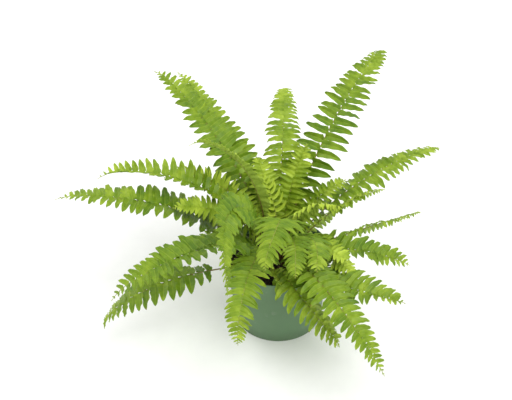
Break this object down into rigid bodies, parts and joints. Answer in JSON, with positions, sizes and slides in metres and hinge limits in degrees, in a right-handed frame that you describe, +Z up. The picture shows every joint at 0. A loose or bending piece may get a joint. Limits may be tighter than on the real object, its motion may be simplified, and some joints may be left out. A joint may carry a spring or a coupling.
{
  "type": "potted fern",
  "caption": "Young Boston fern with arching fronds of paired leaflets, growing from a crown in potting mix in a plain round tapered nursery pot.",
  "frame": {"origin": "centre of the pot's foot, on the surface it stands on", "axes": "+Z up along the pot's axis; -Y towards the front of the plant, the side with the shortest drooping fronds; +X to the right"},
  "size_m": [0.5767, 0.51, 0.3177],
  "materials": {
    "pot_plastic": "satin",
    "potting_mix": "matte",
    "crown": "matte",
    "frond": "satin",
    "young_frond": "satin"
  },
  "bodies": {
    "root": {"pot": "pot_plastic", "potting_mix": "potting_mix", "crown": "crown", "frond_01": "frond", "frond_02": "frond", "frond_03": "young_frond", "frond_04": "frond", "frond_05": "frond", "frond_06": "young_frond", "frond_07": "frond", "frond_08": "frond", "frond_09": "frond", "frond_10": "frond", "frond_11": "frond", "frond_12": "young_frond", "frond_13": "frond", "frond_14": "frond", "frond_15": "frond", "frond_16": "frond", "frond_17": "frond", "frond_18": "frond", "frond_19": "frond", "frond_20": "frond", "frond_21": "frond", "frond_22": "young_frond", "frond_23": "young_frond", "frond_24": "frond", "frond_25": "frond", "frond_26": "frond", "frond_27": "frond", "frond_28": "frond", "frond_29": "frond", "frond_30": "frond", "frond_31": "frond", "frond_32": "frond", "frond_33": "frond"}
  },
  "joints": []
}
